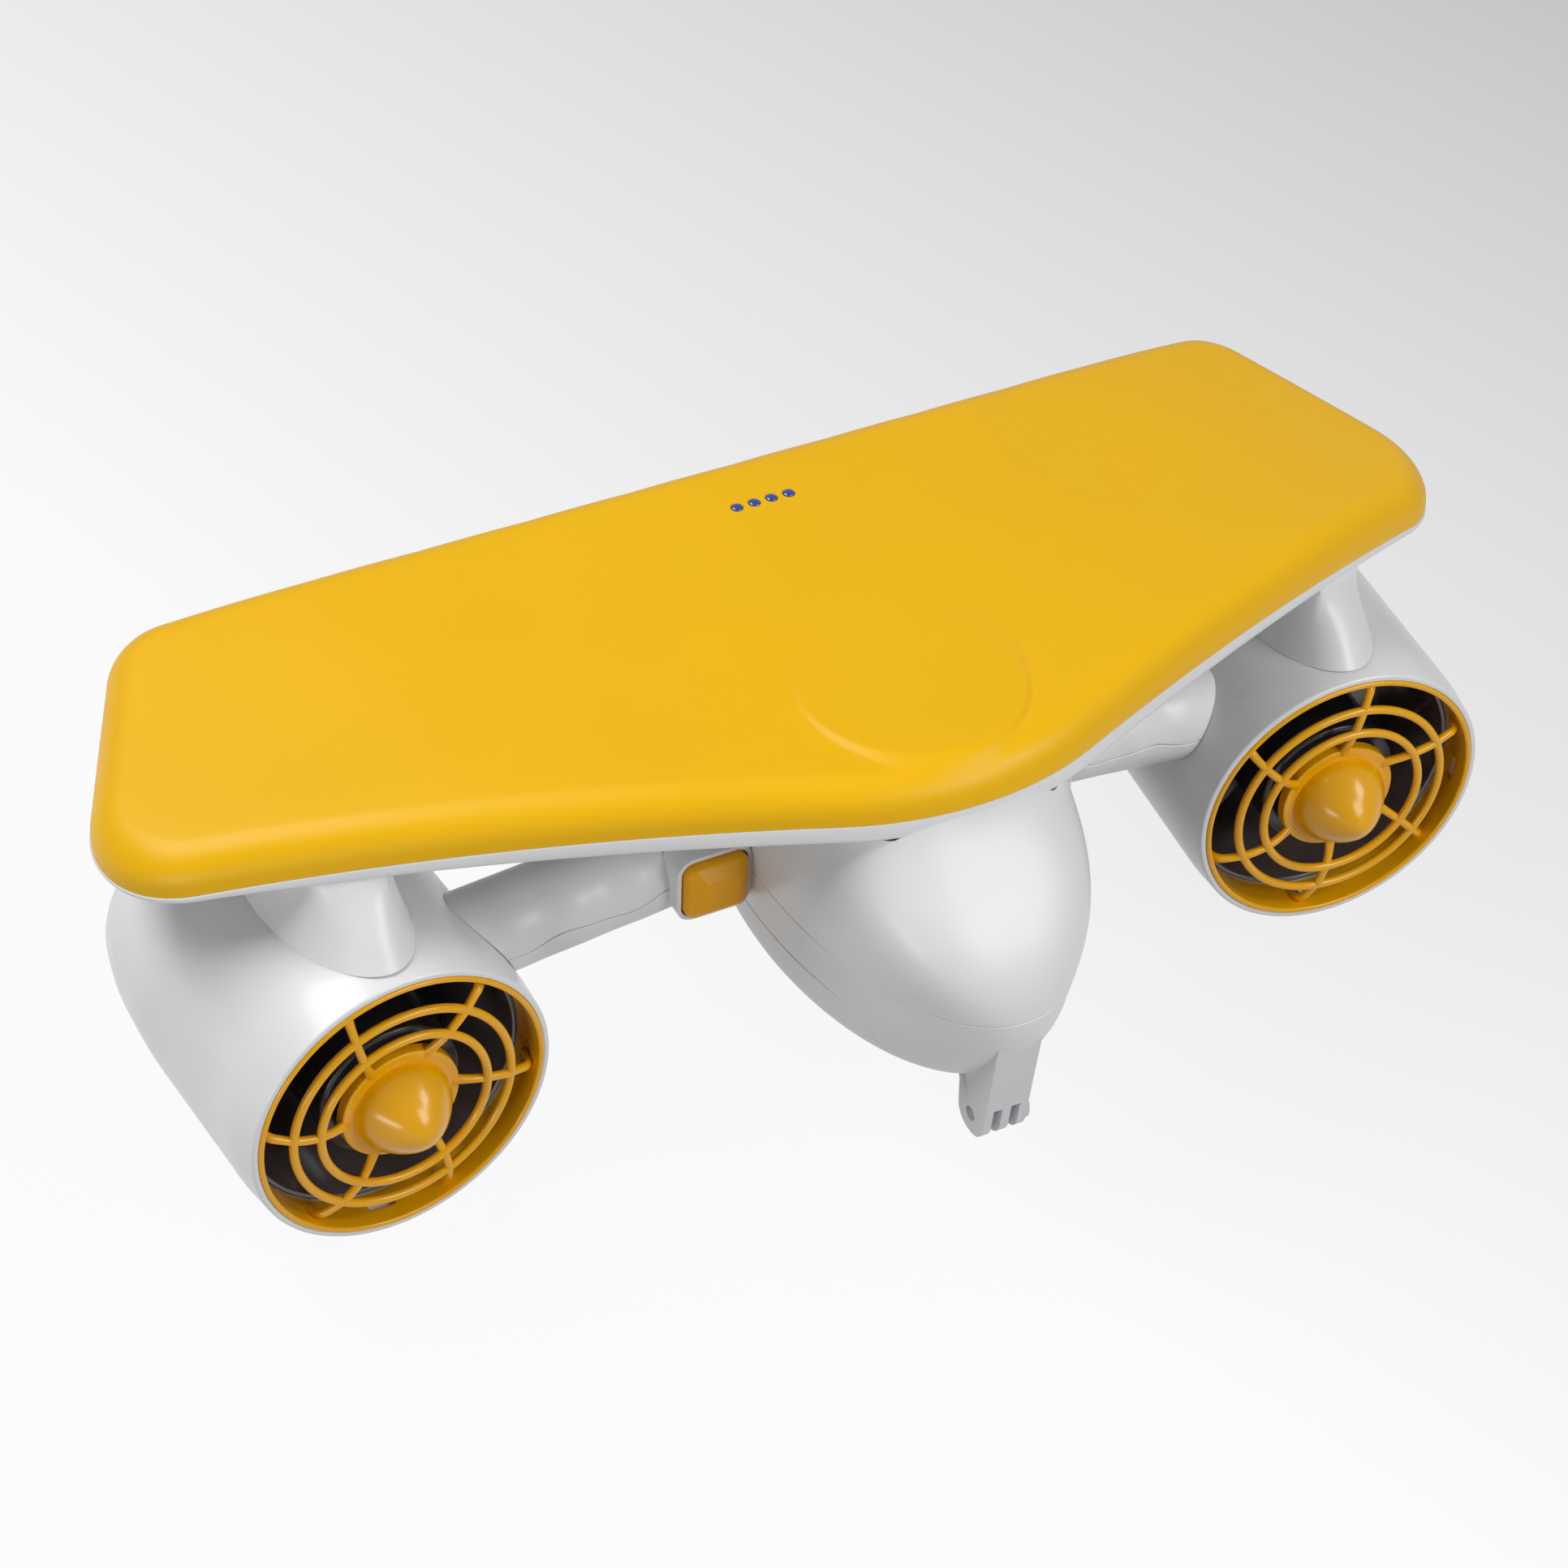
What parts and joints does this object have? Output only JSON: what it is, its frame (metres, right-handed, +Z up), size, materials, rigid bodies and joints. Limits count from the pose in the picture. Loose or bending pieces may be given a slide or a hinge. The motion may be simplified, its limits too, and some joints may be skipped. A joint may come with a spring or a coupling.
{
  "type": "underwater scooter",
  "caption": "Hand-held underwater scooter: arched float deck over a central battery pod, two handles with sprung triggers and a ducted thruster with a guard grille at each end.",
  "frame": {"origin": "centre of the bounding box, at the height of the lowest points, the undersides of the two nacelles", "axes": "+X along the deck towards the thruster seen at the right from in front, +Y from the nose and grilles towards the exhausts, +Z up through the deck"},
  "size_m": [0.4658, 0.2301, 0.1619],
  "materials": {
    "deck_yellow": "satin",
    "grille_yellow": "gloss",
    "trigger_yellow": "satin",
    "shell_white": "satin",
    "nacelle_white": "satin gloss",
    "liner_dark": "gloss",
    "rotor_black": "gloss",
    "mount_white": "satin",
    "level_blue": "gloss",
    "seal_rubber": "matte",
    "circuit_green": "satin",
    "screw_steel": "satin",
    "bearing_steel": "satin",
    "stator_steel": "satin",
    "magnet_nickel": "satin",
    "battery_grey": "satin",
    "contact_brass": "satin"
  },
  "bodies": {
    "hull": {"top_cover": "deck_yellow", "lower_tray": "shell_white", "deck_seal": "seal_rubber", "level_lenses": "level_blue", "led_board": "circuit_green", "controller_board": "circuit_green", "deck_screws": "screw_steel", "pod_nose_shell": "shell_white", "pod_belly_shell": "shell_white", "pod_hatch": "shell_white", "pod_seal": "seal_rubber", "hatch_screws": "screw_steel", "battery_pack": "battery_grey", "battery_contacts": "contact_brass", "camera_mount": "mount_white", "camera_mount_nut": "screw_steel", "left_handle_upper_shell": "shell_white", "left_handle_lower_shell": "shell_white", "left_trigger_bezel": "shell_white", "left_trigger_sensor": "circuit_green", "left_nacelle": "nacelle_white", "left_duct_liner": "liner_dark", "left_grille": "grille_yellow", "left_motor_stator": "stator_steel", "left_motor_mount": "rotor_black", "left_tail_cone": "rotor_black", "left_bearings": "bearing_steel", "left_shaft_seal": "seal_rubber", "left_exhaust_guard": "grille_yellow", "right_handle_upper_shell": "shell_white", "right_handle_lower_shell": "shell_white", "right_trigger_bezel": "shell_white", "right_trigger_sensor": "circuit_green", "right_nacelle": "nacelle_white", "right_duct_liner": "liner_dark", "right_grille": "grille_yellow", "right_motor_stator": "stator_steel", "right_motor_mount": "rotor_black", "right_tail_cone": "rotor_black", "right_bearings": "bearing_steel", "right_shaft_seal": "seal_rubber", "right_exhaust_guard": "grille_yellow"},
    "left_rotor": {"left_propeller": "rotor_black", "left_rotor_bell": "bearing_steel", "left_rotor_magnets": "magnet_nickel", "left_motor_shaft": "bearing_steel", "left_prop_nut": "screw_steel"},
    "left_trigger_body": {"left_trigger": "trigger_yellow", "left_trigger_magnet": "magnet_nickel", "left_trigger_spring": "screw_steel"},
    "right_rotor": {"right_propeller": "rotor_black", "right_rotor_bell": "bearing_steel", "right_rotor_magnets": "magnet_nickel", "right_motor_shaft": "bearing_steel", "right_prop_nut": "screw_steel"},
    "right_trigger_body": {"right_trigger": "trigger_yellow", "right_trigger_magnet": "magnet_nickel", "right_trigger_spring": "screw_steel"}
  },
  "joints": [
    {"name": "left_propeller_spin", "type": "hinge", "parent": "hull", "child": "left_rotor", "pos_m": [-0.16715, -0.034, 0.0518], "axis": [-0.0891, 0.996, 0], "continuous": true},
    {"name": "right_propeller_spin", "type": "hinge", "parent": "hull", "child": "right_rotor", "pos_m": [0.16715, -0.034, 0.0518], "axis": [0.0891, 0.996, 0], "continuous": true},
    {"name": "left_trigger_press", "type": "slide", "parent": "hull", "child": "left_trigger_body", "axis": [0, 1, 0], "range_m": [0, 0.0045], "stiffness_N_per_m": 420, "springref_m": -0.002},
    {"name": "right_trigger_press", "type": "slide", "parent": "hull", "child": "right_trigger_body", "axis": [0, 1, 0], "range_m": [0, 0.0045], "stiffness_N_per_m": 420, "springref_m": -0.002}
  ]
}
